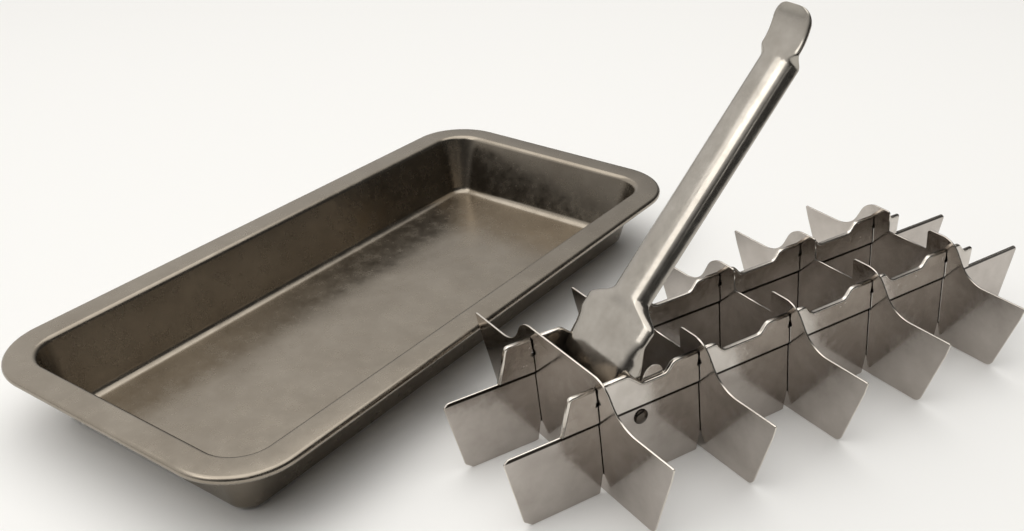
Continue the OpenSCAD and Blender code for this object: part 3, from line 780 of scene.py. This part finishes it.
# %% Lever
stations = np.unique(np.concatenate([
    -EAR_R * np.cos(np.linspace(0, np.pi, 24)),
    np.linspace(EAR_R, HOOD_END, 20),
    np.linspace(HOOD_END, NECK_END, 24),
    np.linspace(NECK_END, TAB_X - TAB_BLEND, 30),
    np.linspace(TAB_X - TAB_BLEND, LEVER_L - TIP_R, 26),
    LEVER_L - TIP_R + TIP_R * np.sin(np.linspace(0, np.pi / 2, 14)),
]).round(5))
outer, inner = lever_rows(stations, 0), lever_rows(stations, LEVER_T)
rows, columns = outer.shape[:2]
skin = grid_faces(rows, columns)
edge_of = lambda which: np.stack([outer[which], inner[which]])
edges = [edge_of(np.s_[:, 0]), edge_of(np.s_[:, -1]), edge_of(np.s_[0]), edge_of(np.s_[-1])]
shell = [(outer.reshape(-1, 3), skin, LEVER_STEEL, True),
         (inner.reshape(-1, 3), skin[:, ::-1], LEVER_STEEL, True)]
shell += [(e.reshape(-1, 3), grid_faces(*e.shape[:2]), EDGE_AND_HIGHLIGHT_STEEL, False) for e in edges]
make_piece("lever_shell", placed(shell, lever_place), "lever", ["lever"])

# %% [markdown]
# ## Rivets, washers and pins
#
# The lever turns on two rivets, one through each wall, with a washer between wall and lever. Two
# short pins near the pivot reach through slots in the slides. Cylinders with bevels would do for
# them, but a headed rivet has a domed crown over a straight rim. So each is a profile, radius
# against length, carried once round its axis, as on a lathe.

# %% Turned parts
FLANGE_OUT, FLANGE_IN = HOOD_W / 2, HOOD_W / 2 - LEVER_T
WALL_IN, WALL_OUT = HALF - WALL_T / 2, HALF + WALL_T / 2
WASHER_GAP, WASHER_R, HEAD_R, PIN_HEAD_R, HEAD_H, PIN_BACK = 0.1, 4, 2.8, 2, 1.2, 16
CROWN_FLAT, HEAD_SIDE, PIN_BEVEL, WASHER_BEVEL = 0.02, 0.2, 0.2, 0.15


def turned_part(profile, material, steps=48):
    """A point at radius r and length l goes round to (r cos a, l, r sin a)."""
    profile = np.asarray(profile, float)
    a = np.arange(steps) * 2 * np.pi / steps
    r, length = profile[:, :1], profile[:, 1:]
    points = np.stack([r * np.cos(a), np.broadcast_to(length, (len(profile), steps)), r * np.sin(a)], -1)
    flat = points.reshape(-1, 3)
    return [(flat, grid_faces(len(profile), steps, close_columns=True), material, True),
            (flat, end_faces(len(profile), steps), material, False)]


def domed(radius, base, way):
    """Profile of a head from its rim to its crown: straight, then an arc of an ellipse."""
    a = np.linspace(0, np.pi / 2, 12)
    r = CROWN_FLAT + (radius - CROWN_FLAT) * np.cos(a)
    return np.stack([r, base + way * (HEAD_SIDE + (HEAD_H - HEAD_SIDE) * np.sin(a))], -1)


def shaft(radius, head_radius, inner, outer, two_heads):
    """Inner head, shank, and outer head if there is one, from the lever outwards."""
    inner_head = domed(head_radius, inner, -1)[::-1]
    low = [(head_radius, inner), (radius, inner)]
    if two_heads:
        outer_head = domed(head_radius, outer, 1)
        return np.vstack([inner_head, low, [(radius, outer), (head_radius, outer)], outer_head])
    return np.vstack([inner_head, low, [(radius, outer - PIN_BEVEL), (radius - PIN_BEVEL, outer)]])


back = math.radians(PIN_BACK)
pin_at = LEVER_AT + PIN_ARM * np.array([-math.sin(back), 0, math.cos(back)])
for name, sign in (("front", -1), ("rear", 1)):
    at = lambda centre: (lambda p: on_table(p * (1, sign, 1) + centre * (1, 0, 1)))
    rivet = shaft(RIVET_R, HEAD_R, FLANGE_IN - WASHER_GAP, WALL_OUT + WASHER_GAP, True)
    make_piece(f"pivot_rivet_{name}_turned", placed(turned_part(rivet, RIVET_STEEL_PAINTED_DARK), at(LEVER_AT)),
               "grid_frame", [f"pivot_rivet_{name}"])
    inner, outer = FLANGE_OUT + WASHER_GAP, WALL_IN - WASHER_GAP
    ring = [(RIVET_R, inner), (WASHER_R - WASHER_BEVEL, inner), (WASHER_R, inner + WASHER_BEVEL),
            (WASHER_R, outer - WASHER_BEVEL), (WASHER_R - WASHER_BEVEL, outer), (RIVET_R, outer)]
    make_piece(f"pivot_washer_{name}_turned", placed(turned_part(ring, RIVET_STEEL_PAINTED_DARK), at(LEVER_AT)),
               "grid_frame", [f"pivot_washer_{name}"])
    pin = shaft(PIN_R, PIN_HEAD_R, FLANGE_IN, HALF - SLIDE_W / 2 + SLIDE_T, False)
    make_piece(f"drive_pin_{name}_turned", placed(turned_part(pin, RIVET_STEEL_PAINTED_DARK), at(pin_at)),
               "lever", [f"drive_pin_{name}"])

# %% [markdown]
# ## Floor
#
# A plain pale table, as in a product photograph: paper, with no gloss. It could be a sweep that
# curves up at the back, but then the metal would show a bend in it. So it is one flat square,
# wide enough that its edge lies far outside the picture, and a hair below the pan's underside so
# that the two don't flicker.

# %% Floor
FLOOR_HALF, FLOOR_DROP = 10.0, 0.0001
paper = bpy.data.materials.new("white paper sweep")
paper.use_nodes = True
paper_shader = paper.node_tree.nodes["Principled BSDF"]
paper_shader.inputs["Base Color"].default_value = linear("#f5f5f4")
paper_shader.inputs["Roughness"].default_value = 0.9
paper_shader.inputs["Specular IOR Level"].default_value = 0.0
floor_mesh = bpy.data.meshes.new("floor")
corner_signs = ((-1, -1), (1, -1), (1, 1), (-1, 1))
floor_corners = [(x * FLOOR_HALF, y * FLOOR_HALF, -FLOOR_DROP) for x, y in corner_signs]
floor_mesh.from_pydata(floor_corners, [], [(0, 1, 2, 3)])
floor_mesh.materials.append(paper)
floor = bpy.data.objects.new("floor", floor_mesh)
bpy.context.scene.collection.objects.link(floor)
floor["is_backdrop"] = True
print(f"floor {2 * FLOOR_HALF:.0f} m across")

# %% [markdown]
# ## Light
#
# Metal shows its surroundings more than its own colour. One even white sky would be simpler, but
# steel looks flat under it. So this sky is white overhead and behind the object, which the pan's
# rim and the lever's top show, and dark and low behind the camera, which gives the lever's round
# side its dark band. One wide soft box above lights the table between the blades. A smaller one
# over the left shoulder draws the bright streak along the lever, and a narrow one beside the
# camera draws a faint line inside the dark band.

# %% Light
BRIGHT_WAY, FADE_FROM, FADE_TO = (-0.1, 0.66, 0.745), 0.1, 0.85
SKY_DARK, SKY_BRIGHT = 0.07, 0.94
world = bpy.data.worlds.new("studio")
bpy.context.scene.world = world
world.use_nodes = True
sky = world.node_tree
direction = add(sky, "ShaderNodeTexCoord").outputs["Generated"]
toward = add(sky, "ShaderNodeVectorMath", {"operation": "DOT_PRODUCT"}, _0=direction, _1=BRIGHT_WAY)
fade = add(sky, "ShaderNodeMapRange", {"interpolation_type": "SMOOTHSTEP"}, Value=toward.outputs["Value"],
           From_Min=FADE_FROM, From_Max=FADE_TO, To_Min=SKY_DARK, To_Max=SKY_BRIGHT)
sky.links.new(fade.outputs["Result"], sky.nodes["Background"].inputs["Strength"])
sky.nodes["Background"].inputs["Color"].default_value = linear("#fdfbf8")


def soft_box(name, at, target, width, height, power):
    """A rectangular lamp at one point, in metres, aimed at another, its power in watts."""
    lamp = bpy.data.lights.new(name, "AREA")
    lamp.shape, lamp.size, lamp.size_y, lamp.energy = "RECTANGLE", width, height, power
    lamp.color = linear("#fffdf9")[:3]
    holder = bpy.data.objects.new(name, lamp)
    bpy.context.scene.collection.objects.link(holder)
    way = Vector(target) - Vector(at)
    aim = way.to_track_quat("-Z", "Y").to_matrix().to_4x4()
    holder.matrix_world = Matrix.Translation(Vector(at)) @ aim
    print(f"lamp {name}: {power} W over {width} x {height} m, {way.length:.2f} m away")


soft_box("overhead", (0.05, 0.0, 1.4), (0.05, -0.05, 0), width=2.0, height=2.0, power=14.4)
soft_box("over the left shoulder", (-0.95, 0.25, 1.1), (0, -0.1, 0.08), width=0.6, height=0.6, power=1.9)
soft_box("beside the camera", (-0.62, -0.72, 0.62), (0, -0.13, 0.1), width=0.06, height=0.25, power=0.05)
bpy.context.scene.view_settings.view_transform = "Standard"

# %% [markdown]
# ## Size
#
# The box of the imported solids and the box of the finished pieces are given side by side, so
# that a finished piece that reaches past the imported solids' box shows at once.

# %% Size and finish
{"cad": [list(corner) for corner in cad_box], "visual": [list(corner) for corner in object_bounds()]}
